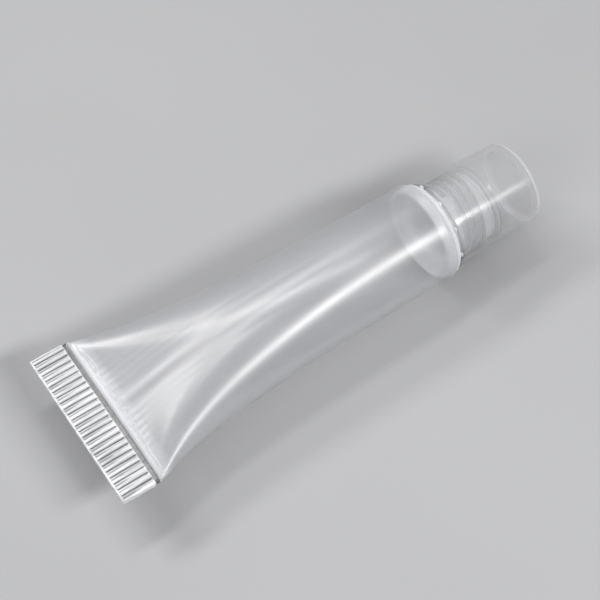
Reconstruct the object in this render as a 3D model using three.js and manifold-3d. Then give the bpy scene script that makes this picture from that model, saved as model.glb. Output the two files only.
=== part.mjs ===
// A lip gloss squeeze tube lying on its side: a soft sleeve welded flat at the tail, a moulded head with
// a threaded neck, a push-in orifice plug, a sealing disc and a clear screw cap.
// Millimetres. +X runs from the tail to the cap, +Y across the flat tail, +Z up. Lengths along the tube
// are stations, measured from the tail edge. The finished group is moved so that its origin is in the
// middle of its footprint, on the surface it lies on. The sleeve is pressed a little flat where it lies.
import * as THREE from "three";
import { mergeVertices } from "three/addons/utils/BufferGeometryUtils.js";
import Module from "manifold-3d";

const wasm = await Module();
wasm.setup();

// Sleeve
const SLEEVE_RADIUS = 8;
const SLEEVE_WALL = 0.5;
const REST_DEPTH = 7.846;
const FLAT_WIDTH = 26.6;
const SLEEVE_END = 60.7;
const SLEEVE_EDGE_ROUND = 0.6;
const ROUND_FROM = 56;
const WELD_DEPTH = 5.9;
const WELD_HALF_THICKNESS = 0.5;
const CAVITY_START = 7.2;
const LIP_BORE = 7.45;
const WIDTH_FADE = 2.6;
const THICKNESS_FADE = 3.1;
const LENS_FADE = 5;
const LENS_SHARPNESS = 0.37;
const EDGE_DROP = 0.6;
const SIDE_THICKENING = 2;
const SLEEVE_RINGS = 16;
const CROWDING = 1.6;

// Ribs pressed into the weld
const RIB_COUNT = 25;
const RIB_LENGTH = 5.1;
const RIB_HALF_THICKNESS = 0.55;
const GROOVE_HALF_THICKNESS = 0.36;
const GROOVE_SHARE = 0.28;

// Head
const SKIRT_START = 55.9;
const SKIRT_RADIUS = 7.4;
const SKIRT_WALL = 0.8;
const SHOULDER_RADIUS = 7.6;
const SHOULDER_ROUND = 0.9;
const SHOULDER_TOP = 61.75;
const ROOT_ROUND = 0.4;
const NECK_ROOT_RADIUS = 5.55;
const NECK_CREST_RADIUS = 6.0;
const NECK_BORE = 4.4;
const NECK_TOP = 68.95;
const NECK_CHAMFER = 0.25;
const LUG_COUNT = 10;
const LUG_RADIUS = 7.1;
const LUG_BALL_RADIUS = 0.42;
const LUG_SINK = 0.12;
const LUG_TURN = 0.2;

// Orifice plug
const FLANGE_RADIUS = 5.5;
const FLANGE_TOP = 69.5;
const PLUG_START = 65.2;
const PLUG_RADIUS = 4.37;
const PLUG_BORE = 3.6;
const PLUG_TAPER = 0.2;
const PLUG_TAPER_LENGTH = 0.6;
const WEB_THICKNESS = 0.9;
const ORIFICE_RADIUS = 1;

// Sealing disc
const DISC_RADIUS = 6.1;
const DISC_START = 69.55;
const DISC_TOP = 70.15;

// Cap
const CAP_START = 62.2;
const CAP_END = 77.7;
const CAP_MOUTH_RADIUS = 7.28;
const CAP_END_RADIUS = 6.62;
const CAP_EDGE_ROUND = 1.2;
const CAP_BORE = 6.25;
const CAP_CREST_RADIUS = 5.85;
const CAP_CHAMBER_RADIUS = 5.75;
const CAP_LEDGE = 70.2;
const CAP_END_WALL = 1.2;
const CHAMBER_CHAMFER = 0.4;
const MOUTH_CHAMFER = 0.2;

// Two-start thread
const THREAD_STARTS = 2;
const THREAD_PITCH = 1.3;
const THREAD_LEAD = THREAD_STARTS * THREAD_PITCH;
const THREAD_TURNS = 1.7;
const THREAD_ROOT_WIDTH = 0.55;
const THREAD_CREST_WIDTH = 0.3;
const NECK_THREAD_START = 63.9;
const CAP_THREAD_OFFSET = -0.52;
const THREAD_SINK = 0.15;
const THREAD_FADE_TURNS = 0.125;
const THREAD_END_STEP = 0.1;
const THREAD_SEGMENTS = 24;

// Gaps between pieces, overlaps that join solids, chamfers and the facets round each turned piece
const GAP = 0.05;
const OVERLAP = 0.2;
const CHAMFER = 0.1;
const SEGMENTS = 48;

const CAP_COLOUR = 0xc9ccd2;
const PLASTIC_COLOUR = 0xc4c7cc;

// ---- solids ----

function toSolid(geometry) {
  const bare = geometry.clone();
  bare.deleteAttribute("normal");
  bare.deleteAttribute("uv");
  const merged = mergeVertices(bare, 1e-4);
  const mesh = new wasm.Mesh({
    numProp: 3,
    vertProperties: new Float32Array(merged.getAttribute("position").array),
    triVerts: new Uint32Array(merged.getIndex().array),
  });
  return new wasm.Manifold(mesh);
}

function toGeometry(solid) {
  const { vertProperties, triVerts } = solid.getMesh();
  const geometry = new THREE.BufferGeometry();
  geometry.setAttribute("position", new THREE.BufferAttribute(vertProperties, 3));
  geometry.setIndex(new THREE.BufferAttribute(triVerts, 1));
  return geometry;
}

// A profile of [station, radius] points turned about the X axis, with a flat facet at the very bottom.
function turned(profile) {
  const points = profile.map(([station, radius]) => new THREE.Vector2(radius, station));
  const geometry = new THREE.LatheGeometry(points, SEGMENTS, Math.PI / SEGMENTS);
  geometry.rotateZ(-Math.PI / 2);
  return toSolid(geometry);
}

// Profile points round an arc. 0 degrees points away from the axis, and 90 towards the cap.
function arcPoints(station, radius, round, fromAngle, toAngle, count) {
  const points = [];
  for (let i = 0; i < count; i += 1) {
    const turn = THREE.MathUtils.degToRad(fromAngle + ((toAngle - fromAngle) * i) / (count - 1));
    points.push([station + round * Math.sin(turn), radius + round * Math.cos(turn)]);
  }
  return points;
}

// A closed skin through rings that have the same number of points.
function loft(rings) {
  const count = rings[0].length;
  const positions = rings.flat().flatMap((p) => [p.x, p.y, p.z]);
  const index = [];
  for (let ring = 0; ring + 1 < rings.length; ring += 1) {
    for (let i = 0; i < count; i += 1) {
      const a = ring * count + i;
      const b = ring * count + ((i + 1) % count);
      index.push(a, b, b + count, a, b + count, a + count);
    }
  }
  const last = (rings.length - 1) * count;
  for (let i = 1; i + 1 < count; i += 1) {
    index.push(0, i + 1, i);
    index.push(last, last + i, last + i + 1);
  }
  const geometry = new THREE.BufferGeometry();
  geometry.setAttribute("position", new THREE.Float32BufferAttribute(positions, 3));
  geometry.setIndex(index);
  return toSolid(geometry);
}

// An outline of [y, z] points drawn out along X from one station to another.
function drawnOut(outline, from, to) {
  const shape = new THREE.Shape(outline.map(([y, z]) => new THREE.Vector2(y, z)));
  const geometry = new THREE.ExtrudeGeometry(shape, { depth: to - from, bevelEnabled: false });
  const basis = new THREE.Matrix4().makeBasis(
    new THREE.Vector3(0, 1, 0),
    new THREE.Vector3(0, 0, 1),
    new THREE.Vector3(1, 0, 0),
  );
  geometry.applyMatrix4(basis.setPosition(from, 0, 0));
  return toSolid(geometry);
}

// ---- sleeve ----

// The sleeve's outer section at a station: half width, half thickness and how lens-like it is.
function sleeveSection(station) {
  const along = THREE.MathUtils.clamp((station - WELD_DEPTH) / (ROUND_FROM - WELD_DEPTH), 0, 1);
  const left = 1 - along;
  return {
    left,
    halfWidth: SLEEVE_RADIUS + (FLAT_WIDTH / 2 - SLEEVE_RADIUS) * left ** WIDTH_FADE,
    halfThickness: SLEEVE_RADIUS - (SLEEVE_RADIUS - WELD_HALF_THICKNESS) * left ** THICKNESS_FADE,
    power: 2 - LENS_SHARPNESS * left ** LENS_FADE,
  };
}

// One ring of a superellipse. A power of 2 is a true ellipse, and a smaller one is sharper at the sides.
function sectionRing(station, halfWidth, halfThickness, power) {
  const ring = [];
  for (let i = 0; i < SEGMENTS; i += 1) {
    const angle = ((i + 0.5) / SEGMENTS) * 2 * Math.PI;
    const across = Math.sign(Math.sin(angle)) * Math.abs(Math.sin(angle)) ** (2 / power);
    const up = Math.sign(Math.cos(angle)) * Math.abs(Math.cos(angle)) ** (2 / power);
    const height = Math.max(halfThickness * up, -REST_DEPTH);
    ring.push(new THREE.Vector3(station, -halfWidth * across, height));
  }
  return ring;
}

// Stations that crowd together at the weld, where the shape changes fastest.
function stationsBetween(from, to, count) {
  const stations = [];
  for (let i = 0; i <= count; i += 1) {
    stations.push(from + (to - from) * (i / count) ** CROWDING);
  }
  return stations;
}

function sleeveBody() {
  const rings = stationsBetween(WELD_DEPTH - OVERLAP, ROUND_FROM, SLEEVE_RINGS).map((station) => {
    const { halfWidth, halfThickness, power } = sleeveSection(station);
    return sectionRing(station, halfWidth, halfThickness, power);
  });
  const roundFrom = SLEEVE_END - SLEEVE_EDGE_ROUND;
  for (const angle of [0, 30, 60, 80]) {
    const turn = THREE.MathUtils.degToRad(angle);
    const radius = SLEEVE_RADIUS - SLEEVE_EDGE_ROUND * EDGE_DROP * (1 - Math.cos(turn));
    rings.push(sectionRing(roundFrom + SLEEVE_EDGE_ROUND * Math.sin(turn), radius, radius, 2));
  }
  return loft(rings);
}

function sleeveCavity() {
  const rings = stationsBetween(CAVITY_START, ROUND_FROM, SLEEVE_RINGS).map((station) => {
    const { left, halfWidth, halfThickness, power } = sleeveSection(station);
    const sideWall = SLEEVE_WALL * (1 + SIDE_THICKENING * left ** LENS_FADE);
    return sectionRing(station, halfWidth - sideWall, halfThickness - SLEEVE_WALL, power);
  });
  rings.push(sectionRing(SLEEVE_END + 1, LIP_BORE, LIP_BORE, 2));
  return loft(rings);
}

// The outline across the ribs: flat tops with a groove between each two.
function ribOutline() {
  const pitch = FLAT_WIDTH / RIB_COUNT;
  const top = [];
  for (let rib = 0; rib < RIB_COUNT; rib += 1) {
    const start = -FLAT_WIDTH / 2 + rib * pitch;
    top.push([start, GROOVE_HALF_THICKNESS]);
    top.push([start + pitch * GROOVE_SHARE, RIB_HALF_THICKNESS]);
    top.push([start + pitch * (1 - GROOVE_SHARE), RIB_HALF_THICKNESS]);
  }
  top.push([FLAT_WIDTH / 2, GROOVE_HALF_THICKNESS]);
  const bottom = top.map(([y, z]) => [y, -z]).reverse();
  return [...bottom, ...top];
}

function tubeSleeve() {
  const band = drawnOut(
    [
      [-FLAT_WIDTH / 2, -GROOVE_HALF_THICKNESS],
      [FLAT_WIDTH / 2, -GROOVE_HALF_THICKNESS],
      [FLAT_WIDTH / 2, GROOVE_HALF_THICKNESS],
      [-FLAT_WIDTH / 2, GROOVE_HALF_THICKNESS],
    ],
    RIB_LENGTH - OVERLAP,
    WELD_DEPTH,
  );
  const ribs = drawnOut(ribOutline(), 0, RIB_LENGTH);
  return sleeveBody().subtract(sleeveCavity()).add(band).add(ribs);
}

// ---- threads ----

// One helical ridge. It grows out of the root radius to the crest radius, and fades in and out at its
// ends, which stay a little thick so that no ring shrinks to a line.
function threadRidge(rootRadius, crestRadius, startStation, startAngle) {
  const steps = Math.round(THREAD_TURNS * THREAD_SEGMENTS);
  const fade = THREAD_FADE_TURNS * THREAD_SEGMENTS;
  const outwards = Math.sign(crestRadius - rootRadius);
  const sunkRadius = rootRadius - outwards * THREAD_SINK;
  const rings = [];
  for (let step = 0; step <= steps; step += 1) {
    const fromEnd = Math.min(step, steps - step) + THREAD_END_STEP;
    const share = Math.min(1, fromEnd / fade);
    const crest = sunkRadius + (crestRadius - sunkRadius) * share;
    const turns = step / THREAD_SEGMENTS;
    const angle = startAngle + turns * 2 * Math.PI;
    const station = startStation + turns * THREAD_LEAD;
    const corner = (radius, shift) =>
      new THREE.Vector3(station + shift, -radius * Math.sin(angle), radius * Math.cos(angle));
    const ring = [
      corner(sunkRadius, -THREAD_ROOT_WIDTH / 2),
      corner(crest, -THREAD_CREST_WIDTH / 2),
      corner(crest, THREAD_CREST_WIDTH / 2),
      corner(sunkRadius, THREAD_ROOT_WIDTH / 2),
    ];
    rings.push(outwards > 0 ? ring.reverse() : ring);
  }
  return loft(rings);
}

function withThread(solid, rootRadius, crestRadius, startStation, turnedBack) {
  let result = solid;
  for (let start = 0; start < THREAD_STARTS; start += 1) {
    const angle = turnedBack + (start / THREAD_STARTS) * 2 * Math.PI;
    result = result.add(threadRidge(rootRadius, crestRadius, startStation, angle));
  }
  return result;
}

// ---- head ----

function lug(angle) {
  const geometry = new THREE.SphereGeometry(LUG_BALL_RADIUS, 10, 8);
  geometry.translate(SHOULDER_TOP - LUG_SINK, 0, LUG_RADIUS);
  geometry.rotateX(angle);
  return toSolid(geometry);
}

function tubeHead() {
  const shoulderStart = SLEEVE_END + GAP;
  const profile = [
    [SKIRT_START, SKIRT_RADIUS - SKIRT_WALL],
    [SKIRT_START, SKIRT_RADIUS],
    [shoulderStart, SKIRT_RADIUS],
    [shoulderStart, SHOULDER_RADIUS],
    ...arcPoints(SHOULDER_TOP - SHOULDER_ROUND, SHOULDER_RADIUS - SHOULDER_ROUND, SHOULDER_ROUND, 0, 90, 4),
    ...arcPoints(SHOULDER_TOP + ROOT_ROUND, NECK_ROOT_RADIUS + ROOT_ROUND, ROOT_ROUND, 270, 180, 3),
    [NECK_TOP - NECK_CHAMFER, NECK_ROOT_RADIUS],
    [NECK_TOP, NECK_ROOT_RADIUS - NECK_CHAMFER],
    [NECK_TOP, NECK_BORE],
    [shoulderStart - CHAMFER, NECK_BORE],
    [shoulderStart - SKIRT_WALL, SKIRT_RADIUS - SKIRT_WALL],
    [SKIRT_START, SKIRT_RADIUS - SKIRT_WALL],
  ];
  let head = withThread(
    turned(profile),
    NECK_ROOT_RADIUS,
    NECK_CREST_RADIUS,
    NECK_THREAD_START,
    0,
  );
  for (let i = 0; i < LUG_COUNT; i += 1) {
    head = head.add(lug(((i + LUG_TURN) / LUG_COUNT) * 2 * Math.PI));
  }
  return head;
}

// ---- plug, disc and cap ----

function orificePlug() {
  const flangeStart = NECK_TOP + GAP;
  return turned(
    [
      [PLUG_START, PLUG_BORE],
      [PLUG_START, PLUG_RADIUS - PLUG_TAPER],
      [PLUG_START + PLUG_TAPER_LENGTH, PLUG_RADIUS],
      [flangeStart, PLUG_RADIUS],
      [flangeStart, FLANGE_RADIUS],
      [FLANGE_TOP - CHAMFER, FLANGE_RADIUS],
      [FLANGE_TOP, FLANGE_RADIUS - CHAMFER],
      [FLANGE_TOP, ORIFICE_RADIUS],
      [FLANGE_TOP - WEB_THICKNESS, ORIFICE_RADIUS],
      [FLANGE_TOP - WEB_THICKNESS, PLUG_BORE],
      [PLUG_START, PLUG_BORE],
    ],
  );
}

function sealDisc() {
  return turned(
    [
      [DISC_START, 0],
      [DISC_START, DISC_RADIUS],
      [DISC_TOP, DISC_RADIUS],
      [DISC_TOP, 0],
    ],
  );
}

function screwCap() {
  const edgeStation = CAP_END - CAP_EDGE_ROUND;
  const edgeRadius = CAP_END_RADIUS - CAP_EDGE_ROUND;
  const chamberEnd = CAP_END - CAP_END_WALL;
  const profile = [
    [CAP_START, CAP_BORE + MOUTH_CHAMFER],
    [CAP_START, CAP_MOUTH_RADIUS - CHAMFER],
    [CAP_START + CHAMFER, CAP_MOUTH_RADIUS],
    ...arcPoints(edgeStation, edgeRadius, CAP_EDGE_ROUND, 0, 90, 4),
    [CAP_END, 0],
    [chamberEnd, 0],
    [chamberEnd, CAP_CHAMBER_RADIUS - CHAMBER_CHAMFER],
    [chamberEnd - CHAMBER_CHAMFER, CAP_CHAMBER_RADIUS],
    [CAP_LEDGE, CAP_CHAMBER_RADIUS],
    [CAP_LEDGE, CAP_BORE],
    [CAP_START + MOUTH_CHAMFER, CAP_BORE],
    [CAP_START, CAP_BORE + MOUTH_CHAMFER],
  ];
  return withThread(
    turned(profile),
    CAP_BORE,
    CAP_CREST_RADIUS,
    NECK_THREAD_START + CAP_THREAD_OFFSET,
    0,
  );
}

// ---- assembly ----

function part(name, solid, material) {
  const mesh = new THREE.Mesh(toGeometry(solid), new THREE.MeshStandardMaterial(material));
  mesh.name = name;
  return mesh;
}

const frosted = { color: PLASTIC_COLOUR, roughness: 0.45, metalness: 0 };
const clear = { color: CAP_COLOUR, roughness: 0.12, metalness: 0 };

const group = new THREE.Group();
group.add(part("tube_sleeve", tubeSleeve(), frosted));
group.add(part("tube_head", tubeHead(), frosted));
group.add(part("orifice_plug", orificePlug(), frosted));
group.add(part("seal_disc", sealDisc(), clear));
group.add(part("screw_cap", screwCap(), clear));
group.position.set(-CAP_END / 2, 0, REST_DEPTH);

export default group;
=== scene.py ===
import math
import bpy
import numpy as np
from mathutils import Matrix, Vector


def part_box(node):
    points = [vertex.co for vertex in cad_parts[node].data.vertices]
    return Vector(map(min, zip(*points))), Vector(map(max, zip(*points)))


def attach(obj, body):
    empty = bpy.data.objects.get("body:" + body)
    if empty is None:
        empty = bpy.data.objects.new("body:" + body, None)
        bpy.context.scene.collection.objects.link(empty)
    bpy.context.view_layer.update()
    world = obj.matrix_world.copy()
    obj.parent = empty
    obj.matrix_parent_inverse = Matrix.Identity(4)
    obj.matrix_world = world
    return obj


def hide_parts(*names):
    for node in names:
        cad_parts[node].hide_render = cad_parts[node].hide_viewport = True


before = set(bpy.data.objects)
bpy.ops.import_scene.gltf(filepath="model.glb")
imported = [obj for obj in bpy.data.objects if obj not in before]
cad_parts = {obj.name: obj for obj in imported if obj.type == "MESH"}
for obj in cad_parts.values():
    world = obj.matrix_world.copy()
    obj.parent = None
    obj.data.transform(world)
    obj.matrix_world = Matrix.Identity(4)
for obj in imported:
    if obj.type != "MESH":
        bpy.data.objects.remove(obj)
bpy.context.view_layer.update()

# A lip gloss squeeze tube. Shapes are worked out in millimetres: stations along the tube from its tail
# edge, then across and up from its axis. add_mesh turns them into metres in the frame.
MM = 0.001
SLEEVE_LOW, SLEEVE_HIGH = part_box("tube_sleeve")
HEAD_LOW, HEAD_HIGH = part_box("tube_head")
PLUG_LOW, PLUG_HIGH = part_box("orifice_plug")
DISC_LOW, DISC_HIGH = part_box("seal_disc")
CAP_LOW, CAP_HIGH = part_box("screw_cap")
TAIL_X = SLEEVE_LOW.x
AXIS_Z = (CAP_LOW.z + CAP_HIGH.z) / 2


def station(x):
    return (x - TAIL_X) / MM


# ---- sizes from the frame ----
CLEAR = 0.01
# The frame's skirt reaches further back than the one that is seen through the frosted wall.
SKIRT_CUT = 3.4
SLEEVE_RADIUS = (SLEEVE_HIGH.z - AXIS_Z) / MM - CLEAR
REST_DEPTH = (AXIS_Z - SLEEVE_LOW.z) / MM - CLEAR
FLAT_HALF = SLEEVE_HIGH.y / MM - CLEAR
SLEEVE_END = station(SLEEVE_HIGH.x)
SKIRT_START = station(HEAD_LOW.x) + SKIRT_CUT
NECK_TOP = station(HEAD_HIGH.x)
PLUG_START = station(PLUG_LOW.x)
FLANGE_TOP = station(PLUG_HIGH.x)
DISC_START = station(DISC_LOW.x)
DISC_TOP = station(DISC_HIGH.x)
DISC_RADIUS = (DISC_HIGH.y - DISC_LOW.y) / 2 / MM
CAP_START = station(CAP_LOW.x)
CAP_END = station(CAP_HIGH.x)
CAP_RADIUS = (CAP_HIGH.y - CAP_LOW.y) / 2 / MM

# ---- sleeve ----
WALL = 0.5
WELD_END = 5.9
ROUND_FROM = 56
EDGE_ROUND = 0.6
LIP_BORE = 7.44
LIP_STATIONS = (57, 58.5)
LIP_INSIDE_STATIONS = (SLEEVE_END - 0.1, 58.5, 56.6)
LIP_MILK_START = 59
LIP_DROP = 0.6
BODY_COLUMNS = 192
WELD_COLUMNS = 384
WELD_ROWS = (1.0, 7.0)
WELD_ROW_STEP = 0.14
BODY_FIRST_ROW = 7.2
BODY_ROW_STEP = 0.9
INSIDE_LAST_ROW = 3.0
INSIDE_ROW_STEP = 1.5

# ---- ribs and weld ----
RIB_COUNT = 25
RIB_COLUMNS = 12
RIB_END = 5.15
RIB_HEIGHT = 0.52
SCRAMBLE_TURN = 12.9898
SCRAMBLE_SPREAD = 43758.5453
GROOVE_DEPTH = 0.2
WEDGE_DEPTH = 0.09
WEDGE_PLACE = 0.56
WEDGE_WANDER = 0.06
MARK_PLACE = 0.62
MARK_WANDER = 0.1
MARK_DEPTH = 0.02
CROWN_HEIGHT = 0.04
RIM_HEIGHT = 0.06
CREST_TONE = 0.62
CREST_TONE_SPREAD = 0.12
# Painted highlight on the crest near the tail; painted shade in the grooves, the wedge dents and the line
# marks.
CREST_PAINTED_HIGHLIGHT = 0.3
GROOVE_PAINTED_SHADE = 0.75
WEDGE_PAINTED_SHADE = 0.42
MARK_PAINTED_SHADE = 0.18
# Painted highlights on the tail rim and on the rib ends by the band.
RIM_PAINTED_HIGHLIGHT = 0.6
RIB_END_PAINTED_HIGHLIGHT = 0.35
DARKEST_TONE = 0.02
LIGHTEST_TONE = 1.1
CORNER = 0.06
BAND_HEIGHT = 0.42
BAND_STATIONS = (5.2, 5.35, 5.55, 5.8)
EDGE_COLUMNS = 4
BAND_TONE = 0.12
PLAIN_TONE = 0.5
LIP_MILK = 0.25
FLASH = 0.17
BEAD_PLACE = 0.14
BEAD_WIDTH = 0.09
BEAD_HEIGHT = 0.16
# Painted highlights on the bead, the ripple and the melted wavelets.
BEAD_PAINTED_HIGHLIGHT = 1.6
RIPPLE_PLACE = 0.95
RIPPLE_WIDTH = 0.08
RIPPLE_HEIGHT = 0.05
RIPPLE_PAINTED_HIGHLIGHT = 0.4
WAVE_PAINTED_HIGHLIGHT = 1.1
# Painted highlight: the sleeve is painted lighter just past the weld, where its bulge catches the light,
# fading over the reach.
WELD_PAINTED_HIGHLIGHT = 0.5
WELD_PAINTED_HIGHLIGHT_REACH = 3.4

# ---- neck and threads ----
NECK_ROOT = 5.55
NECK_CREST = 6.0
NECK_BORE = 4.4
CAP_BORE = 6.25
CAP_CREST = 5.87
THREAD_STARTS = 2
THREAD_PITCH = 1.3
THREAD_TURNS = 1.7
THREAD_START = 63.9
CAP_THREAD_OFFSET = -0.52
THREAD_STEPS = 96
THREAD_HALF_WIDTH = 0.3
THREAD_SINK = 0.1
TURNED_COLUMNS = 144

# ---- head and plug ----
SKIRT_RADIUS = 7.4
SKIRT_WALL = 0.75
SKIRT_BEVEL = 0.1
SHOULDER_GAP = 0.05
SHOULDER_STEP = 7.55
SHOULDER_RIM = 7.62
SHOULDER_BEVEL = 0.12
SHOULDER_TOP = 61.75
SHOULDER_ROUND = 0.9
SHOULDER_FLAT = (6.6, 6.2)
NECK_FILLET = 0.4
NECK_EDGE = 0.25
THROAT_EDGE = 0.08
THROAT_START = 60.9
THROAT_MOUTH = [(60.6, 4.6), (60.2, 6.1), (60.0, 6.5), (59.8, 6.6), (59.5, 6.63)]
LUG_COUNT = 10
LUG_RADIUS = 7.1
LUG_SIZE = 0.42
LUG_TURN = 0.2
LUG_SINK = 0.12
LUG_RINGS = 6
LUG_COLUMNS = 16
PLUG_BORE = 3.62
PLUG_RADIUS = 4.36
PLUG_TIP = 4.12
PLUG_LEAD_IN = 0.6
FLANGE_GAP = 0.05
FLANGE_RADIUS = 5.48
FLANGE_UNDER = 0.12
FLANGE_ROUND = 0.14
ORIFICE = 1.0

# ---- disc and cap ----
DISC_ROUND = 0.12
DISC_SHOULDER = 0.2
CAP_END_RADIUS = 6.61
CAP_EDGE = 1.15
CAP_MOUTH_ROUND = 0.15
CAP_SIDE_ROWS = 12
CAP_EDGE_ROWS = 9
CAP_END_WALL = 1.2
CHAMBER_ROUND = 0.5
CHAMBER_CORNER = 5.2
THREAD_ROOM_END = 70.2


# ---- mesh helpers ----

def add_mesh(name, points, faces, body, materials, nodes=(), material_index=None, tone=None):
    """A smooth mesh from millimetre points. It rides on a CAD body and may stand for CAD nodes.
    Tone says how bright the plastic is at each point, for pressed and melted places; on the weld it also
    holds painted highlights and painted shade."""
    points = np.asarray(points, float)
    placed = points * MM + (TAIL_X, 0, AXIS_Z)
    mesh = bpy.data.meshes.new(name)
    mesh.from_pydata(placed.tolist(), [], faces)
    mesh.validate()
    mesh.shade_smooth()
    for material in materials:
        mesh.materials.append(material)
    if material_index is not None:
        mesh.polygons.foreach_set("material_index", np.asarray(material_index, np.int32))
    if tone is not None:
        attribute = mesh.attributes.new("tone", "FLOAT", "POINT")
        attribute.data.foreach_set("value", np.asarray(tone, np.float32))
    piece = bpy.data.objects.new(name, mesh)
    bpy.context.scene.collection.objects.link(piece)
    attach(piece, body)
    if nodes:
        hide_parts(*nodes)


def smoothstep(low, high, value):
    t = np.clip((np.asarray(value, float) - low) / (high - low), 0, 1)
    return t * t * (3 - 2 * t)


def bump_at(value, centre, width):
    return np.exp(-(((value - centre) / width) ** 2))


def stitch(rings, shares):
    """Faces between rings that may differ in their number of points. A share is a point's way round."""
    faces = []
    start = 0
    for ring in range(len(rings) - 1):
        a_count = len(rings[ring])
        b_count = len(rings[ring + 1])
        next_start = start + a_count
        if a_count == b_count:
            for i in range(a_count):
                j = (i + 1) % a_count
                faces.append((start + i, next_start + i, next_start + j, start + j))
        else:
            a_share = np.append(shares[ring], shares[ring][0] + 1)
            b_share = np.append(shares[ring + 1], shares[ring + 1][0] + 1)
            i = 0
            j = 0
            while i < a_count or j < b_count:
                a_index = start + i % a_count
                b_index = next_start + j % b_count
                if j >= b_count or (i < a_count and a_share[i + 1] <= b_share[j + 1]):
                    i += 1
                    faces.append((a_index, b_index, start + i % a_count))
                else:
                    j += 1
                    faces.append((a_index, b_index, next_start + j % b_count))
        start = next_start
    return faces


def even_shares(count):
    return (np.arange(count) + 0.5) / count


def turned(profile):
    """A closed profile of (station, radius) points turned about the axis. Radius 0 becomes one point.
    Also gives the profile step that each face belongs to."""
    columns = TURNED_COLUMNS
    turn = even_shares(columns) * 2 * math.pi
    points = []
    starts = []
    for s, radius in profile:
        starts.append(len(points))
        if radius == 0:
            points.append((s, 0, 0))
        else:
            points.extend((s, radius * math.sin(t), radius * math.cos(t)) for t in turn)
    faces = []
    steps = []
    for k, (_, radius) in enumerate(profile):
        following = (k + 1) % len(profile)
        next_radius = profile[following][1]
        if radius == 0 and next_radius == 0:
            continue
        steps.extend([k] * columns)
        for i in range(columns):
            j = (i + 1) % columns
            a, b = starts[k], starts[following]
            if radius == 0:
                faces.append((a, b + i, b + j))
            elif next_radius == 0:
                faces.append((a + i, b, a + j))
            else:
                faces.append((a + i, b + i, b + j, a + j))
    return points, faces, np.array(steps)


def arc(s, radius, size, from_angle, to_angle, count=7):
    """Profile points round an arc. 0 degrees points away from the axis, and 90 towards the cap."""
    turns = np.radians(np.linspace(from_angle, to_angle, count))
    return [(s + size * math.sin(t), radius + size * math.cos(t)) for t in turns]


def line(start, end, count):
    """Points from start up to, but not including, end."""
    return [tuple(np.array(start) + (np.array(end) - start) * i / count) for i in range(count)]


# ---- the sleeve's shape: an elastic tube, pinched flat at one end and left to relax ----

RELAX_ROWS = 110
RELAX_COLUMNS = 24
BENDING = 0.19
SHEAR = 0.6
TWIST = 1.4
SPREAD_FADE = 4
START_ROUNDING = 2.6
RELAX_STEPS = 2200
RELAX_MEMORY = 20
FIRST_STEP = 0.01
SMALLEST_STEP = 1e-6
ENOUGH_FALL = 1e-4


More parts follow.
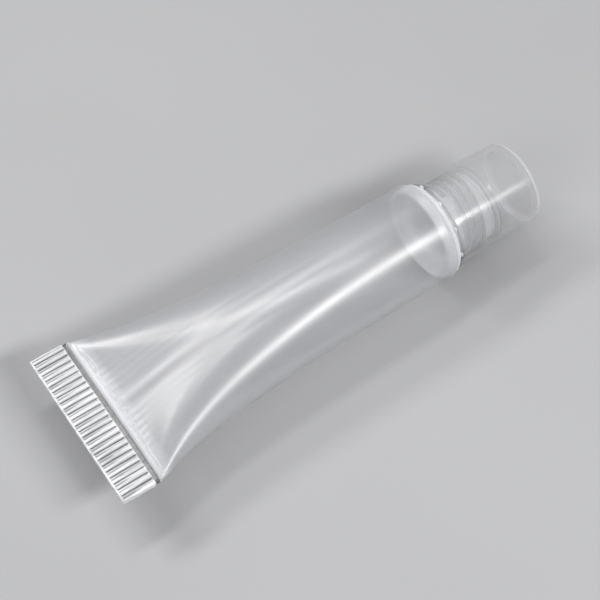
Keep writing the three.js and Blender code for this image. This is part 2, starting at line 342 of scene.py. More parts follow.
class PinchedTube:
    """A quarter of the wall's middle surface. Rows run along the tube, columns from the top to a side."""

    def __init__(self):
        self.radius = SLEEVE_RADIUS - WALL / 2
        self.dx = (ROUND_FROM - WELD_END) / RELAX_ROWS
        self.dt = self.radius * math.pi / 2 / RELAX_COLUMNS
        self.rows = WELD_END + self.dx * np.arange(-1, RELAX_ROWS + 2)
        flat = FLAT_HALF - WALL / 2
        spread = flat / (self.radius * math.pi / 2)
        fade = np.exp(-np.maximum(self.rows - WELD_END, 0) / SPREAD_FADE)
        self.across = self.dt * (1 + (spread - 1) * fade)[:, None]
        self.diagonal = np.hypot(self.dx, (self.across[1:] + self.across[:-1]) / 2)
        self.halved = np.ones(RELAX_COLUMNS + 1)
        self.halved[[0, -1]] = 0.5
        self.own = np.zeros(RELAX_COLUMNS + 2)
        self.own[1:-1] = 1
        share = (np.arange(RELAX_COLUMNS) + 0.5) / RELAX_COLUMNS
        along = np.clip((self.rows - WELD_END) / (ROUND_FROM - WELD_END), 0, 1)[:, None]
        rounded = 1 - (1 - along) ** START_ROUNDING
        y = (1 - rounded) * share * flat + rounded * self.radius * np.sin(share * math.pi / 2)
        z = (1 - rounded) * WALL / 2 + rounded * self.radius * np.cos(share * math.pi / 2)
        x = np.repeat(self.rows[:, None], RELAX_COLUMNS, 1)
        self.start = np.stack([x, y, z], -1)

    def energy(self, grid):
        """Stretch, shear and bending energy with its gradient. Round the tube, rest is the full circle."""
        p = np.concatenate([grid[:, :1] * (1, -1, 1), grid, grid[:, -1:] * (1, 1, -1)], 1)
        pull = np.zeros_like(p)
        total = 0.0

        def spring(ahead, behind, rest, stiffness, weight):
            nonlocal total
            d = p[ahead] - p[behind]
            length = np.sqrt((d * d).sum(-1))
            strain = length / rest - 1
            force = (stiffness * weight * strain / (rest * length))[..., None] * d
            pull[ahead] += force
            pull[behind] -= force
            total += 0.5 * stiffness * (weight * strain * strain).sum()

        spring(np.s_[1:], np.s_[:-1], self.dx, 1, self.own)
        spring(np.s_[:, 1:], np.s_[:, :-1], self.across, 1, self.halved)
        spring(np.s_[1:, 1:], np.s_[:-1, :-1], self.diagonal, SHEAR, self.halved)
        spring(np.s_[1:, :-1], np.s_[:-1, 1:], self.diagonal, SHEAR, self.halved)
        bend = (p[:, 2:] - 2 * p[:, 1:-1] + p[:, :-2]) / self.dt ** 2
        size = np.sqrt((bend * bend).sum(-1)) + 1e-9
        excess = size - 1 / self.radius
        total += 0.5 * BENDING * (excess * excess).sum()
        f = (BENDING * excess / size / self.dt ** 2)[..., None] * bend
        pull[:, 2:] += f
        pull[:, :-2] += f
        pull[:, 1:-1] -= 2 * f
        bend = (p[2:, 1:-1] - 2 * p[1:-1, 1:-1] + p[:-2, 1:-1]) / self.dx ** 2
        total += 0.5 * BENDING * (bend * bend).sum()
        f = BENDING * bend / self.dx ** 2
        pull[2:, 1:-1] += f
        pull[:-2, 1:-1] += f
        pull[1:-1, 1:-1] -= 2 * f
        twist = (p[1:, 1:] - p[1:, :-1] - p[:-1, 1:] + p[:-1, :-1]) / (self.dx * self.dt)
        total += 0.5 * TWIST * BENDING * (self.halved[:, None] * twist * twist).sum()
        f = TWIST * BENDING * self.halved[:, None] * twist / (self.dx * self.dt)
        pull[1:, 1:] += f
        pull[1:, :-1] -= f
        pull[:-1, 1:] -= f
        pull[:-1, :-1] += f
        gradient = pull[:, 1:-1].copy()
        gradient[:, 0] += pull[:, 0] * (1, -1, 1)
        gradient[:, -1] += pull[:, -1] * (1, 1, -1)
        gradient[:2] = 0
        gradient[-2:] = 0
        return total, gradient

    def relax(self):
        """L-BFGS with a backtracking line search."""
        grid = self.start
        value, gradient = self.energy(grid)
        memory = []
        for _ in range(RELAX_STEPS):
            direction = -gradient
            used = []
            for change, turn, inverse in reversed(memory):
                share = inverse * (change * direction).sum()
                direction = direction - share * turn
                used.append(share)
            if memory:
                change, turn, inverse = memory[-1]
                direction = direction / (inverse * (turn * turn).sum())
            else:
                direction = direction * FIRST_STEP
            for (change, turn, inverse), share in zip(memory, reversed(used)):
                direction = direction + change * (share - inverse * (turn * direction).sum())
            slope = (gradient * direction).sum()
            step = 1.0
            while step > SMALLEST_STEP:
                moved = grid + step * direction
                new_value, new_gradient = self.energy(moved)
                if new_value <= value + ENOUGH_FALL * step * slope:
                    break
                step *= 0.5
            else:
                return grid
            change = moved - grid
            turn = new_gradient - gradient
            product = (change * turn).sum()
            if product > 0:
                memory.append((change, turn, 1 / product))
                memory = memory[-RELAX_MEMORY:]
            grid, value, gradient = moved, new_value, new_gradient
        return grid


def whole_ring(quarter):
    """Rows of the full way round, from the top past +Y and the bottom, out of one quarter."""
    back = quarter[:, ::-1]
    return np.concatenate([quarter, back * (1, 1, -1), quarter * (1, -1, -1), back * (1, -1, 1)], 1)


def sampled(grid, where, axis, closed):
    """Catmull-Rom samples of the grid at fractional indices along an axis."""
    grid = np.moveaxis(grid, axis, 0)
    count = len(grid)
    where = np.asarray(where, float)
    base = np.floor(where).astype(int)
    t = (where - base).reshape((-1,) + (1,) * (grid.ndim - 1))
    near = [base - 1, base, base + 1, base + 2]
    if closed:
        a, b, c, d = (grid[i % count] for i in near)
    else:
        a, b, c, d = (grid[np.clip(i, 0, count - 1)] for i in near)
    value = b + 0.5 * t * (c - a + t * (2 * a - 5 * b + 4 * c - d + t * (3 * (b - c) + d - a)))
    return np.moveaxis(value, 0, axis)


def outward(grid):
    """Unit normals of a grid whose columns close round the tube."""
    along = np.gradient(grid, axis=0)
    around = np.roll(grid, -1, 1) - np.roll(grid, 1, 1)
    normal = np.cross(around, along)
    normal /= np.sqrt((normal * normal).sum(-1))[..., None]
    return normal * np.sign((normal[..., 2:] * grid[..., 2:]).sum(axis=(1, 2)))[:, None, None]


def resting(points):
    """The wall presses flat where it lies on the surface."""
    points = points.copy()
    points[..., 2] = np.maximum(points[..., 2], -REST_DEPTH)
    return points


# ---- the weld's relief ----

def rib_place(across):
    """Where a point lies within its rib, from 0 to 1, and a number of the rib's own, from 0 to 1."""
    place = (across + FLAT_HALF) / (2 * FLAT_HALF / RIB_COUNT)
    rib = np.floor(place)
    own = np.sin(rib * SCRAMBLE_TURN) * SCRAMBLE_SPREAD
    return place - rib, own - np.floor(own)


def rib_profile(across, along):
    """Half thickness of the ribbed end, across the flat and along it from the tail edge."""
    v, own = rib_place(across)
    groove = np.exp(-((np.minimum(v, 1 - v) / 0.1) ** 2))
    wedge_place = WEDGE_PLACE + WEDGE_WANDER * (own - 0.5)
    wedge = bump_at(v, wedge_place, 0.11) * (1 - smoothstep(0.8, 2.6 + own, along))
    crown = CROWN_HEIGHT * np.sin(math.pi * v)
    mark_place = MARK_PLACE + MARK_WANDER * own
    line_mark = MARK_DEPTH * bump_at(v, mark_place, 0.05) * smoothstep(1, 2, along)
    pressed = smoothstep(0.25, 0.5, along) * (1 - smoothstep(4.9, RIB_END, along))
    slope = 0.05 * smoothstep(0.1, 1.6, along)
    top = RIB_HEIGHT - 0.05 + slope + crown - line_mark
    height = top - pressed * (GROOVE_DEPTH * groove + WEDGE_DEPTH * wedge)
    rim = RIM_HEIGHT * (1 - smoothstep(0.1, 0.25, along))
    foot = smoothstep(4.95, RIB_END, along)
    return (height + rim) * (1 - foot) + BAND_HEIGHT * foot


def rib_tone_and_painted_light(across, along):
    """Grooves are thin and painted dark as shade, with painted shade in the wedge dents and line marks too;
    crests are milky; painted highlights light up the crest near the tail, the rim, the rib ends and the
    side edge.
    """
    v, own = rib_place(across)
    groove = np.exp(-((np.minimum(v, 1 - v) / 0.11) ** 2))
    wedge_place = WEDGE_PLACE + WEDGE_WANDER * (own - 0.5)
    wedge = bump_at(v, wedge_place, 0.1) * (1 - smoothstep(1.0, 3.4 + own, along))
    # Painted highlight on the crest near the tail edge.
    painted_crest_highlight = bump_at(v, 0.3, 0.14) * (1 - smoothstep(0.6, 2.6, along))
    painted_mark_shade = bump_at(v, MARK_PLACE + MARK_WANDER * own, 0.06) * smoothstep(1, 2, along)
    pressed = smoothstep(0.2, 0.4, along) * (1 - smoothstep(5.0, RIB_END, along))
    # Painted shade darkens the grooves, the wedge dents and the line marks.
    painted_light_marks = CREST_PAINTED_HIGHLIGHT * painted_crest_highlight - GROOVE_PAINTED_SHADE * groove - WEDGE_PAINTED_SHADE * wedge - MARK_PAINTED_SHADE * painted_mark_shade
    tone = CREST_TONE + CREST_TONE_SPREAD * own + pressed * painted_light_marks
    # Painted highlights on the tail rim, the rib ends and the melt's side edge.
    rim = 1 - smoothstep(0.08, 0.24, along)
    ends = bump_at(along, 5.02, 0.1) * (1 - groove)
    side = smoothstep(FLAT_HALF - FLASH - 0.3, FLAT_HALF - FLASH - 0.12, np.abs(across))
    tone = tone + RIM_PAINTED_HIGHLIGHT * rim + RIB_END_PAINTED_HIGHLIGHT * ends
    return np.clip(np.maximum(tone, side), DARKEST_TONE, LIGHTEST_TONE)


def flat_ring(along):
    """A ring round the flat end and its tone. Its shares match the fold of the sleeve's own rings."""
    count = RIB_COUNT * RIB_COLUMNS
    edge = FLAT_HALF - FLASH
    across = (np.arange(count) + 0.5) / count * 2 - 1
    y_top = across * (edge - CORNER)
    half = rib_profile(y_top, along)
    flash = FLASH * flash_shape(along)
    side = (np.arange(EDGE_COLUMNS) + 0.5) / EDGE_COLUMNS * math.pi
    right = half[-1]
    left = half[0]
    rows = []
    middle = count // 2
    rows.append(np.stack([y_top[middle:], half[middle:]], 1))
    rows.append(np.stack([edge - CORNER + CORNER * np.sin(side), right * np.cos(side)], 1))
    rows.append(np.stack([y_top[::-1], -half[::-1]], 1))
    bulge = CORNER + flash
    rows.append(np.stack([-edge + CORNER - bulge * np.sin(side), -left * np.cos(side)], 1))
    rows.append(np.stack([y_top[:middle], half[:middle]], 1))
    outline = np.concatenate(rows)
    total = len(outline)
    tone = rib_tone_and_painted_light(outline[:, 0], along)
    return np.column_stack([np.full(total, along), outline]), even_shares(total), tone


def flash_shape(along):
    """How far the melt squeezed out of the weld's side, from 0 to 1, along the flat."""
    wave = 0.55 + 0.3 * math.sin(along * 2.9 + 0.8) + 0.25 * math.sin(along * 6.7 + 2.1)
    return float(smoothstep(0.4, 2.2, along)) * min(max(wave, 0), 1)


# Melted wavelets: where across the flat, half width, how far they reach and how high they stand.
MELT_WAVES = [
    (8.4, 2.2, 0.3, 0.05),
    (7.6, 2.6, 0.5, 0.05),
    (4.6, 0.9, 0.25, 0.04),
    (2.6, 0.5, 0.35, 0.06),
    (1.5, 0.6, 0.6, 0.07),
    (1.5, 0.35, 0.35, 0.06),
    (0.2, 0.7, 0.75, 0.07),
    (0.1, 0.4, 0.45, 0.07),
    (-1.3, 0.6, 0.6, 0.07),
    (-2.7, 0.5, 0.5, 0.05),
    (-4.1, 0.6, 0.4, 0.04),
    (-5.9, 0.7, 0.35, 0.03),
]


def weld_relief(points, shares):
    """How far the bead and the melted wavelets stand up past the flat end, and their tone, with painted
    highlights on the bead, the ripple, the wavelets and the bulge just past the weld.
    """
    s = points[..., 0]
    y = points[..., 1]
    top = (np.cos(shares * 2 * math.pi) > 0)[None, :]
    bead = bump_at(s, WELD_END + BEAD_PLACE, BEAD_WIDTH)
    wander = 0.1 * np.sin(y * 0.9 + 1) + 0.05 * np.sin(y * 2.3)
    ripple = bump_at(s, WELD_END + RIPPLE_PLACE + wander, RIPPLE_WIDTH)
    relief = BEAD_HEIGHT * bead + RIPPLE_HEIGHT * ripple
    # Painted highlights on the bead, the ripple and the melted wavelets.
    painted_weld_highlight = BEAD_PAINTED_HIGHLIGHT * bead + RIPPLE_PAINTED_HIGHLIGHT * ripple
    for centre, width, reach, height in MELT_WAVES:
        front = WELD_END + RIPPLE_PLACE + reach * (1 - np.clip(((y - centre) / width) ** 2, 0, 1))
        wave = bump_at(s, front, RIPPLE_WIDTH) * ((np.abs(y - centre) < width) & top)
        relief = relief + height * wave
        painted_weld_highlight = painted_weld_highlight + WAVE_PAINTED_HIGHLIGHT * wave
    # Painted highlight on the bulge just past the weld.
    painted_bulge_highlight = WELD_PAINTED_HIGHLIGHT * (1 - smoothstep(WELD_END + 0.3, WELD_END + WELD_PAINTED_HIGHLIGHT_REACH, s))
    band = 1 - smoothstep(WELD_END - 0.02, WELD_END + 0.06, s)
    tone = PLAIN_TONE + painted_bulge_highlight + 0.8 * np.clip(painted_weld_highlight, 0, 1)
    return relief, tone * (1 - band) + BAND_TONE * band


class Skin:
    """Rings of a surface, each with its points' shares of the way round and their tones."""

    def __init__(self):
        self.rings = []
        self.shares = []
        self.tones = []

    def add(self, ring, share, tone):
        self.rings.append(ring)
        self.shares.append(share)
        self.tones.append(np.full(len(ring), tone) if np.isscalar(tone) else tone)


def flat_rings():
    """The ribbed end, from its tail face to the plain band."""
    rows = [0.05, 0.1, 0.17, 0.25, 0.35, 0.45, 0.6, 0.85, 1.2, 1.6, 2.0, 2.6, 3.2, 3.8, 4.3, 4.7]
    rows += [4.85, 4.95, 5.02, 5.09, 5.15]
    skin = Skin()
    ring, share, tone = flat_ring(0.0)
    for inset in (0.55, 0.85):
        skin.add(ring * (1, 1, inset), share, tone)
    for along in rows:
        skin.add(*flat_ring(along))
    return skin


def circle(s, radius, turn):
    return np.column_stack([np.full(len(turn), s), radius * np.sin(turn), radius * np.cos(turn)])


def sleeve_skin(middle):
    """Outer rings from the tail to the lip, then inner rings back to the weld."""
    skin = flat_rings()
    weld_rings = len(skin.rings) + len(BAND_STATIONS)
    share = even_shares(WELD_COLUMNS)
    fine = sampled(middle, np.arange(*WELD_ROWS, WELD_ROW_STEP), 0, False)
    fine = sampled(fine, share * 4 * RELAX_COLUMNS - 0.5, 1, True)
    outer = fine + outward(fine) * WALL / 2
    relief, tone = weld_relief(outer, share)
    outer[..., 2] += np.sign(outer[..., 2]) * relief
    for along in BAND_STATIONS:
        ring = outer[0].copy()
        ring[:, 0] = along
        ring[:, 2] = np.clip(ring[:, 2], -BAND_HEIGHT, BAND_HEIGHT)
        skin.add(ring, share, BAND_TONE)
    for ring, ring_tone in zip(resting(outer), tone):
        skin.add(ring, share, ring_tone)
    share = even_shares(BODY_COLUMNS)
    coarse = sampled(middle, np.arange(BODY_FIRST_ROW, RELAX_ROWS + 1.01, BODY_ROW_STEP), 0, False)
    coarse = sampled(coarse, share * 4 * RELAX_COLUMNS - 0.5, 1, True)
    for ring in resting(coarse + outward(coarse) * WALL / 2):
        skin.add(ring, share, PLAIN_TONE)
    turn = share * 2 * math.pi
    round_from = SLEEVE_END - EDGE_ROUND
    lip = [(s, SLEEVE_RADIUS) for s in (*LIP_STATIONS, round_from)]
    for angle in np.radians((20, 40, 60, 80)):
        drop = LIP_DROP * EDGE_ROUND * (1 - math.cos(angle))
        lip.append((round_from + EDGE_ROUND * math.sin(angle), SLEEVE_RADIUS - drop))
    lip.append((SLEEVE_END - 0.02, LIP_BORE + 0.06))
    for s, radius in lip:
        milk = LIP_MILK * float(smoothstep(LIP_MILK_START, SLEEVE_END, s))
        skin.add(resting(circle(s, radius, turn)), share, PLAIN_TONE + milk)
    outer_rings = len(skin.rings)
    share = even_shares(4 * RELAX_COLUMNS)
    turn = share * 2 * math.pi
    inside = [circle(s, LIP_BORE, turn) for s in LIP_INSIDE_STATIONS]
    inner = sampled(middle, np.arange(RELAX_ROWS - 1, INSIDE_LAST_ROW, -INSIDE_ROW_STEP), 0, False)
    inside.extend(inner - outward(inner) * WALL / 2)
    for ring in inside:
        ring[:, 2] = np.maximum(ring[:, 2], WALL - REST_DEPTH)
        skin.add(ring, share, PLAIN_TONE)
    return skin, weld_rings, outer_rings


def make_sleeve():
    middle = whole_ring(PinchedTube().relax())
    skin, weld_rings, outer_rings = sleeve_skin(middle)
    faces = stitch(skin.rings, skin.shares)
    ends = np.cumsum([len(ring) for ring in skin.rings])
    faces.append(tuple(range(ends[0])))
    faces.append(tuple(reversed(range(ends[-2], ends[-1]))))
    highest = np.array([max(face) for face in faces])
    index = np.where(highest < ends[weld_rings - 1], 1, 0)
    index[highest >= ends[outer_rings - 1]] = 2
    add_mesh("squeeze_sleeve", np.concatenate(skin.rings), faces, "tube",
             [FROSTED, RIBBED, FROSTED_INSIDE], ["tube_sleeve"], index, np.concatenate(skin.tones))


# ---- threads ----

def thread_ridges(root, crest, start):
    """The ridges of the two-start thread, rounded at the crest and run out at both ends."""
    outline = [(-THREAD_HALF_WIDTH, 0.0), (-0.2, 0.55), (-0.1, 0.92), (0.0, 1.0)]
    outline += [(0.1, 0.92), (0.2, 0.55), (THREAD_HALF_WIDTH, 0.0)]
    lead = THREAD_STARTS * THREAD_PITCH
    sunk = root - THREAD_SINK * np.sign(crest - root)
    points = []
    faces = []
    steps = round(THREAD_TURNS * THREAD_STEPS)
    for ridge in range(THREAD_STARTS):
        base = len(points)
        for step in range(steps + 1):
            turns = step / THREAD_STEPS
            angle = (turns + ridge / THREAD_STARTS) * 2 * math.pi
            share = float(smoothstep(-0.02, 0.13, min(turns, THREAD_TURNS - turns)))
            for shift, height in outline:
                radius = sunk + (crest - sunk) * height * share
                s = start + turns * lead + shift
                points.append((s, radius * math.sin(angle), radius * math.cos(angle)))
        width = len(outline)
        for step in range(steps):
            for i in range(width):
                j = (i + 1) % width
                a = base + step * width
                faces.append((a + i, a + j, a + width + j, a + width + i))
        faces.append(tuple(range(base, base + width)))
        end = base + steps * width
        faces.append(tuple(reversed(range(end, end + width))))
    if crest < root:
        faces = [tuple(reversed(face)) for face in faces]
    return points, faces


# ---- head, plug, disc and cap ----

def make_head():
    shoulder_start = SLEEVE_END + SHOULDER_GAP
    profile = [(SKIRT_START, SKIRT_RADIUS - SKIRT_WALL)]
    profile += [(SKIRT_START, SKIRT_RADIUS - SKIRT_BEVEL), (SKIRT_START + SKIRT_BEVEL, SKIRT_RADIUS)]
    profile += [(shoulder_start, SKIRT_RADIUS), (shoulder_start, SHOULDER_STEP)]
    profile += [(shoulder_start + SHOULDER_BEVEL, SHOULDER_RIM)]
    profile += arc(SHOULDER_TOP - SHOULDER_ROUND, 6.7, SHOULDER_ROUND, 0, 80, 8)
    profile += [(SHOULDER_TOP, radius) for radius in SHOULDER_FLAT]
    profile += arc(SHOULDER_TOP + NECK_FILLET, NECK_ROOT + NECK_FILLET, NECK_FILLET, 270, 180, 6)
    profile += [(64, NECK_ROOT), (66, NECK_ROOT), (68, NECK_ROOT)]
    profile += arc(NECK_TOP - NECK_EDGE, NECK_ROOT - NECK_EDGE, NECK_EDGE, 0, 90, 5)
    profile += [(NECK_TOP, NECK_BORE + THROAT_EDGE), (NECK_TOP - THROAT_EDGE, NECK_BORE)]
    profile += [(66, NECK_BORE), (63, NECK_BORE), (THROAT_START, NECK_BORE)]
    profile += THROAT_MOUTH
    points, faces, _ = turned(profile)
    add_mesh("moulded_head", points, faces, "tube", [WHITE_PLASTIC], ["tube_head"])
    points, faces = thread_ridges(NECK_ROOT, NECK_CREST, THREAD_START)
    add_mesh("neck_thread", points, faces, "tube", [WHITE_PLASTIC])


def make_lugs():
    """Small round stops moulded on the shoulder, where the cap's mouth ends."""
    points = []
    faces = []
    foot = SHOULDER_TOP - LUG_SINK
    for lug in range(LUG_COUNT):
        turn = (lug + LUG_TURN) / LUG_COUNT * 2 * math.pi
        base = len(points)
        for ring in range(LUG_RINGS):
            tilt = ring / LUG_RINGS * math.pi / 2
            for column in range(LUG_COLUMNS):
                spin = column / LUG_COLUMNS * 2 * math.pi
                radial = LUG_RADIUS + LUG_SIZE * math.cos(tilt) * math.cos(spin)
                aside = LUG_SIZE * math.cos(tilt) * math.sin(spin)
                s = foot + LUG_SIZE * math.sin(tilt)
                y = -radial * math.sin(turn) + aside * math.cos(turn)
                z = radial * math.cos(turn) + aside * math.sin(turn)
                points.append((s, y, z))
        top = len(points)
        points.append((foot + LUG_SIZE, -LUG_RADIUS * math.sin(turn), LUG_RADIUS * math.cos(turn)))
        for ring in range(LUG_RINGS - 1):
            for i in range(LUG_COLUMNS):
                j = (i + 1) % LUG_COLUMNS
                a = base + ring * LUG_COLUMNS
                faces.append((a + i, a + j, a + LUG_COLUMNS + j, a + LUG_COLUMNS + i))
        last = base + (LUG_RINGS - 1) * LUG_COLUMNS
        faces.extend((last + i, last + (i + 1) % LUG_COLUMNS, top) for i in range(LUG_COLUMNS))
        faces.append(tuple(reversed(range(base, base + LUG_COLUMNS))))
    add_mesh("shoulder_lugs", points, faces, "tube", [WHITE_PLASTIC])


def make_plug():
    """The metering insert: a tube with a flange outside and a web with a hole in the middle."""
    flange_start = NECK_TOP + FLANGE_GAP
    profile = [(PLUG_START, PLUG_BORE), (PLUG_START, PLUG_TIP), (PLUG_START + PLUG_LEAD_IN, PLUG_RADIUS)]
    profile += line((66.5, PLUG_RADIUS), (flange_start, PLUG_RADIUS), 2)
    profile += [(flange_start, PLUG_RADIUS), (flange_start, FLANGE_RADIUS - 0.08)]
    profile += arc(flange_start + FLANGE_UNDER, FLANGE_RADIUS - FLANGE_UNDER, FLANGE_UNDER, 290, 360, 4)
    profile += arc(FLANGE_TOP - FLANGE_ROUND, FLANGE_RADIUS - FLANGE_ROUND, FLANGE_ROUND, 0, 90, 5)
    profile += [(FLANGE_TOP, 4.2), (FLANGE_TOP - 0.1, 3.4)]
    profile += [(FLANGE_TOP - 0.22, 2.2), (FLANGE_TOP - 0.24, ORIFICE + 0.25)]
    profile += [(FLANGE_TOP - 0.32, ORIFICE + 0.08), (FLANGE_TOP - 0.45, ORIFICE)]
    profile += [(FLANGE_TOP - 0.85, ORIFICE), (FLANGE_TOP - 0.9, ORIFICE + 0.1)]
    profile += [(FLANGE_TOP - 0.92, 3.3), (FLANGE_TOP - 1.2, 3.58), (68, PLUG_BORE)]
    points, faces, _ = turned(profile)
    add_mesh("metering_plug", points, faces, "tube", [WHITE_PLASTIC], ["orifice_plug"])


def make_disc():
    radius = DISC_RADIUS - CLEAR
    middle = (DISC_START + DISC_TOP) / 2
    half = (DISC_TOP - DISC_START) / 2 - CLEAR
    profile = [(middle - half, 0), (middle - half, 3), (middle - half, radius - DISC_SHOULDER)]
    profile += arc(middle, radius - DISC_ROUND, DISC_ROUND, 290, 430, 7)
    profile += [(middle + half, radius - DISC_SHOULDER), (middle + half, 3), (middle + half, 0)]
    points, faces, _ = turned(profile)
    add_mesh("sealing_disc", points, faces, "seal", [CLEAR_DISC], ["seal_disc"])


def make_cap():
    mouth = CAP_RADIUS - CLEAR
    end = CAP_END - CLEAR
    taper = (mouth - CAP_END_RADIUS) / (end - CAP_START)
    profile = [(CAP_START + 0.2, CAP_BORE + 0.02), (CAP_START + 0.06, CAP_BORE + 0.12)]
    profile += [(CAP_START, CAP_BORE + 0.28), (CAP_START, mouth - 0.25)]
    profile += arc(CAP_START + CAP_MOUTH_ROUND, mouth - CAP_MOUTH_ROUND, CAP_MOUTH_ROUND, 290, 360, 5)
    straight_end = end - CAP_EDGE
    for i in range(1, CAP_SIDE_ROWS + 1):
        s = CAP_START + CAP_MOUTH_ROUND + (straight_end - CAP_START - CAP_MOUTH_ROUND) * i / CAP_SIDE_ROWS
        profile.append((s, mouth - taper * (s - CAP_START)))
    shelf = mouth - taper * (straight_end - CAP_START) - CAP_EDGE
    edge_start = len(profile)
    profile += arc(straight_end, shelf, CAP_EDGE, 10, 90, CAP_EDGE_ROWS)
    profile += [(end, 3.2), (end, 1.3), (end - 0.08, 1.12), (end - 0.14, 0.9), (end - 0.14, 0.45)]
    profile += [(end - 0.06, 0.3), (end - 0.04, 0)]
    chamber_end = CAP_END - CAP_END_WALL
    inside_start = len(profile)
    profile += [(chamber_end, 0), (chamber_end, 3), (chamber_end, 5.1)]
    profile += arc(chamber_end - CHAMBER_ROUND, CHAMBER_CORNER, CHAMBER_ROUND, 80, 0, 6)
    profile += [(74, 5.72), (72, 5.74), (70.3, 5.75), (THREAD_ROOM_END, 5.8)]
    profile += [(THREAD_ROOM_END, CAP_BORE - 0.05), (70.1, CAP_BORE)]
    profile += [(68, CAP_BORE), (66, CAP_BORE), (64, CAP_BORE)]
    points, faces, steps = turned(profile)
    index = np.where(steps >= inside_start, 1, 0)
    # The rounded end edge takes a lighter material: a painted highlight along the cap's edge.
    index[(steps >= edge_start) & (steps < edge_start + CAP_EDGE_ROWS - 1)] = 2
    add_mesh("clear_cap", points, faces, "cap", [CLEAR_PLASTIC, CLEAR_INSIDE, CLEAR_EDGE_PAINTED_HIGHLIGHT],
             ["screw_cap"], index)
    points, faces = thread_ridges(CAP_BORE, CAP_CREST, THREAD_START + CAP_THREAD_OFFSET)
    add_mesh("cap_thread", points, faces, "cap", [CLEAR_PLASTIC])


# ---- materials ----

FROST_DARK = (0.48, 0.485, 0.505)
FROST_LIGHT = (0.53, 0.535, 0.555)
FROST_TONES = (0.4, 1.6)
FROST_ROUGHNESS = (0.31, 0.37)
# Higher than the plastic's own 1.51, for the strong gloss of the drawn skin.
FROST_IOR = 1.7
WELD_DARK = (0.5, 0.505, 0.52)
WELD_LIGHT = (0.96, 0.96, 0.97)
WELD_TONES = (0.04, 1.2)
WELD_ROUGHNESS = (0.16, 0.34)
MOULDED_DARK = (0.74, 0.75, 0.775)
MOULDED_LIGHT = (0.82, 0.83, 0.85)
MOULDED_ROUGHNESS = (0.28, 0.36)
SCATTER_WEIGHT = 0.8
SCATTER_DEPTH = 0.002
THICK_ALPHA = 0.86
POLYETHYLENE_IOR = 1.51
HAZE_DARK = (0.46, 0.465, 0.48)
HAZE_LIGHT = (0.54, 0.545, 0.56)
# Lighter clear plastic: the sealing disc's own colour, and a painted highlight along the cap's rounded end
# edge.
DISC_AND_EDGE_HIGHLIGHT_DARK = (0.74, 0.745, 0.765)
DISC_AND_EDGE_HIGHLIGHT_LIGHT = (0.82, 0.825, 0.845)
CLEAR_ROUGHNESS = (0.17, 0.25)
POLYPROPYLENE_IOR = 1.49
FLOOR_DARK = (0.37, 0.37, 0.375)
FLOOR_LIGHT = (0.39, 0.39, 0.395)


class Nodes:
    """Builds one material's nodes."""

    def __init__(self, name):
        self.material = bpy.data.materials.new(name)
        self.material.use_nodes = True
        self.tree = self.material.node_tree
        self.shader = self.tree.nodes["Principled BSDF"]
        self.place = self.tree.nodes.new("ShaderNodeTexCoord").outputs["Object"]

    def link(self, source, target):
        self.tree.links.new(source, target)

    def noise(self, scale, detail=3.0, stretch=(1, 1, 1)):
        mapping = self.tree.nodes.new("ShaderNodeMapping")
        mapping.inputs["Scale"].default_value = stretch
        self.link(self.place, mapping.inputs["Vector"])
        noise = self.tree.nodes.new("ShaderNodeTexNoise")
        noise.inputs["Scale"].default_value = scale
        noise.inputs["Detail"].default_value = detail
        self.link(mapping.outputs["Vector"], noise.inputs["Vector"])
        return noise.outputs["Fac"]

    def spread(self, source, low, high, low_in=0.3, high_in=0.7):
        mapped = self.tree.nodes.new("ShaderNodeMapRange")
        mapped.inputs["From Min"].default_value = low_in
        mapped.inputs["From Max"].default_value = high_in
        mapped.inputs["To Min"].default_value = low
        mapped.inputs["To Max"].default_value = high
        self.link(source, mapped.inputs["Value"])
        return mapped.outputs["Result"]

    def colours(self, source, low, high):
        ramp = self.tree.nodes.new("ShaderNodeValToRGB")
        ramp.color_ramp.elements[0].position = 0.3
        ramp.color_ramp.elements[0].color = (*low, 1)
        ramp.color_ramp.elements[1].position = 0.7
        ramp.color_ramp.elements[1].color = (*high, 1)
        self.link(source, ramp.inputs["Fac"])
        self.link(ramp.outputs["Color"], self.shader.inputs["Base Color"])

    def toned(self, low, high):
        """The base colour is multiplied by the mesh's tone, from low at 0 to high at 1. On the weld the
        tone holds painted highlights and painted shade.
        """
        attribute = self.tree.nodes.new("ShaderNodeAttribute")
        attribute.attribute_name = "tone"
        share = self.spread(attribute.outputs["Fac"], low, high, 0, 1)
        mix = self.tree.nodes.new("ShaderNodeVectorMath")
        mix.operation = "MULTIPLY"
        base = self.shader.inputs["Base Color"]
        self.link(base.links[0].from_socket, mix.inputs[0])
        self.link(share, mix.inputs[1])
        self.link(mix.outputs[0], base)

    def bump(self, source, strength, distance, before=None):
        bump = self.tree.nodes.new("ShaderNodeBump")
        bump.inputs["Strength"].default_value = strength
        bump.inputs["Distance"].default_value = distance
        self.link(source, bump.inputs["Height"])
        if before is not None:
            self.link(before, bump.inputs["Normal"])
        return bump.outputs["Normal"]

    def finish(self, normal, **values):
        if normal is not None:
            self.link(normal, self.shader.inputs["Normal"])
        for name, value in values.items():
            self.shader.inputs[name.replace("_", " ")].default_value = value
        return self.material


def frosted(name, alpha):
    """Natural polyethylene: milky, faintly mottled, with drawn lines along the sleeve."""
    n = Nodes(name)
    mottle = n.noise(90, 4)
    drawn = n.noise(500, 2, (0.06, 1, 1))
    grain = n.noise(2600, 2)
    n.colours(mottle, FROST_DARK, FROST_LIGHT)
    n.toned(*FROST_TONES)
    n.link(n.spread(mottle, *FROST_ROUGHNESS), n.shader.inputs["Roughness"])
    normal = n.bump(drawn, 0.02, 0.00003)
    normal = n.bump(grain, 0.12, 0.00002, normal)
    return n.finish(normal, Alpha=alpha, IOR=FROST_IOR, Specular_IOR_Level=1.0)


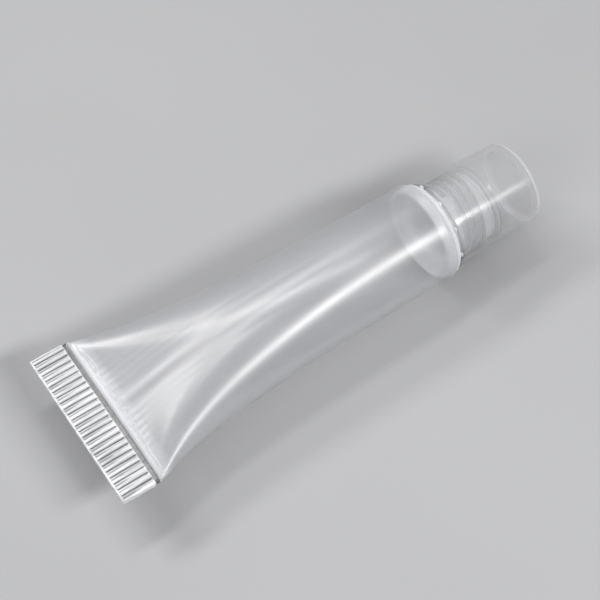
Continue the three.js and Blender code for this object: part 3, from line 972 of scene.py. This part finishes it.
def ribbed(name):
    """The weld: the same plastic, clouded and streaked by the hot jaws."""
    n = Nodes(name)
    streaks = n.noise(1400, 3, (0.12, 1, 1))
    grain = n.noise(4200, 3)
    n.colours(streaks, WELD_DARK, WELD_LIGHT)
    n.toned(*WELD_TONES)
    n.link(n.spread(grain, *WELD_ROUGHNESS), n.shader.inputs["Roughness"])
    normal = n.bump(streaks, 0.3, 0.00005)
    normal = n.bump(grain, 0.3, 0.00004, normal)
    return n.finish(normal, Alpha=THICK_ALPHA, IOR=POLYETHYLENE_IOR)


def white_plastic():
    """Thick natural polyethylene of the head and plug: whiter, with light scattered inside it."""
    n = Nodes("natural_moulded")
    cloud = n.noise(160, 3)
    grain = n.noise(3000, 2)
    n.colours(cloud, MOULDED_DARK, MOULDED_LIGHT)
    n.link(n.spread(cloud, *MOULDED_ROUGHNESS), n.shader.inputs["Roughness"])
    return n.finish(n.bump(grain, 0.12, 0.00002), Alpha=THICK_ALPHA, IOR=POLYETHYLENE_IOR,
                    Subsurface_Weight=SCATTER_WEIGHT, Subsurface_Radius=(1, 1, 1),
                    Subsurface_Scale=SCATTER_DEPTH)


def clear(name, alpha, low, high):
    """Clear polypropylene with a slight haze and a moulded waviness."""
    n = Nodes(name)
    haze = n.noise(120, 2)
    wave = n.noise(220, 2, (0.3, 1, 1))
    n.colours(haze, low, high)
    n.link(n.spread(haze, *CLEAR_ROUGHNESS), n.shader.inputs["Roughness"])
    return n.finish(n.bump(wave, 0.12, 0.00006), Alpha=alpha, IOR=POLYPROPYLENE_IOR, Specular_IOR_Level=1.0)


FROSTED = frosted("frosted_polyethylene", 0.38)
FROSTED_INSIDE = frosted("frosted_inside", 0.12)
RIBBED = ribbed("crimped_weld")
WHITE_PLASTIC = white_plastic()
CLEAR_PLASTIC = clear("clear_polypropylene", 0.34, HAZE_DARK, HAZE_LIGHT)
CLEAR_INSIDE = clear("clear_inside", 0.12, HAZE_DARK, HAZE_LIGHT)
# Painted highlight along the cap's rounded end edge.
CLEAR_EDGE_PAINTED_HIGHLIGHT = clear("clear_edge_painted_highlight", 0.42, DISC_AND_EDGE_HIGHLIGHT_DARK, DISC_AND_EDGE_HIGHLIGHT_LIGHT)
CLEAR_DISC = clear("clear_disc_plastic", 0.55, DISC_AND_EDGE_HIGHLIGHT_DARK, DISC_AND_EDGE_HIGHLIGHT_LIGHT)


# ---- studio ----

CENTRE = Vector((-0.00096, 0.00047, 0.00785))
CAMERA_AZIMUTH = math.radians(-34.125)
CAMERA_ELEVATION = math.radians(57.371)
CAMERA_DISTANCE = 0.2141
LENS = 87.7
FLOOR_HALF = 0.9
WORLD_COLOUR = (0.94, 0.96, 1.0, 1)
WORLD_STRENGTH = 0.16

# Each softbox: name, direction from the tube, distance, width, depth and power.
SOFTBOXES = [
    ("key_softbox", (0.31, -0.67, 0.67), 0.5, 0.26, 0.08, 2.0),
    ("overhead_strip", (0.02, 0.41, 0.91), 0.5, 0.26, 0.07, 0.8),
    ("back_softbox", (-0.36, 0.63, 0.69), 0.5, 0.2, 0.08, 1.2),
    ("tail_fill", (-0.8, -0.25, 0.55), 0.6, 0.3, 0.3, 0.9),
]


def make_camera():
    camera = bpy.data.objects.new("camera", bpy.data.cameras.new("camera"))
    camera.data.lens = LENS
    camera.data.sensor_width = 36
    camera.data.clip_start = 0.001
    look = Vector((-math.sin(CAMERA_AZIMUTH) * math.cos(CAMERA_ELEVATION),
                   math.cos(CAMERA_AZIMUTH) * math.cos(CAMERA_ELEVATION),
                   -math.sin(CAMERA_ELEVATION)))
    camera.location = CENTRE - look * CAMERA_DISTANCE
    camera.rotation_euler = look.to_track_quat("-Z", "Y").to_euler()
    bpy.context.scene.collection.objects.link(camera)
    bpy.context.scene.camera = camera


def add_softbox(name, towards, distance, width, depth, power):
    """A rectangular softbox that faces the tube, with its width along the tube."""
    light = bpy.data.lights.new(name, "AREA")
    light.shape = "RECTANGLE"
    light.size = width
    light.size_y = depth
    light.energy = power
    lamp = bpy.data.objects.new(name, light)
    back = Vector(towards).normalized()
    side = Vector((1, 0, 0))
    side = (side - back * side.dot(back)).normalized()
    up = back.cross(side)
    turn = Matrix((side, up, back)).transposed().to_4x4()
    lamp.matrix_world = Matrix.Translation(CENTRE + back * distance) @ turn
    bpy.context.scene.collection.objects.link(lamp)


def make_floor():
    mesh = bpy.data.meshes.new("floor")
    half = FLOOR_HALF
    corners = [(-half, -half, 0), (half, -half, 0), (half, half, 0), (-half, half, 0)]
    mesh.from_pydata(corners, [], [(0, 1, 2, 3)])
    n = Nodes("pale_floor")
    n.colours(n.noise(14, 2), FLOOR_DARK, FLOOR_LIGHT)
    n.finish(None, Roughness=0.9)
    mesh.materials.append(n.material)
    floor = bpy.data.objects.new("floor", mesh)
    bpy.context.scene.collection.objects.link(floor)


def make_world():
    world = bpy.data.worlds.new("studio")
    world.use_nodes = True
    background = world.node_tree.nodes["Background"]
    background.inputs["Color"].default_value = WORLD_COLOUR
    background.inputs["Strength"].default_value = WORLD_STRENGTH
    bpy.context.scene.world = world


make_camera()
make_world()
make_floor()
for softbox in SOFTBOXES:
    add_softbox(*softbox)

make_sleeve()
make_head()
make_lugs()
make_plug()
make_disc()
make_cap()

bpy.context.scene.view_settings.view_transform = "Standard"
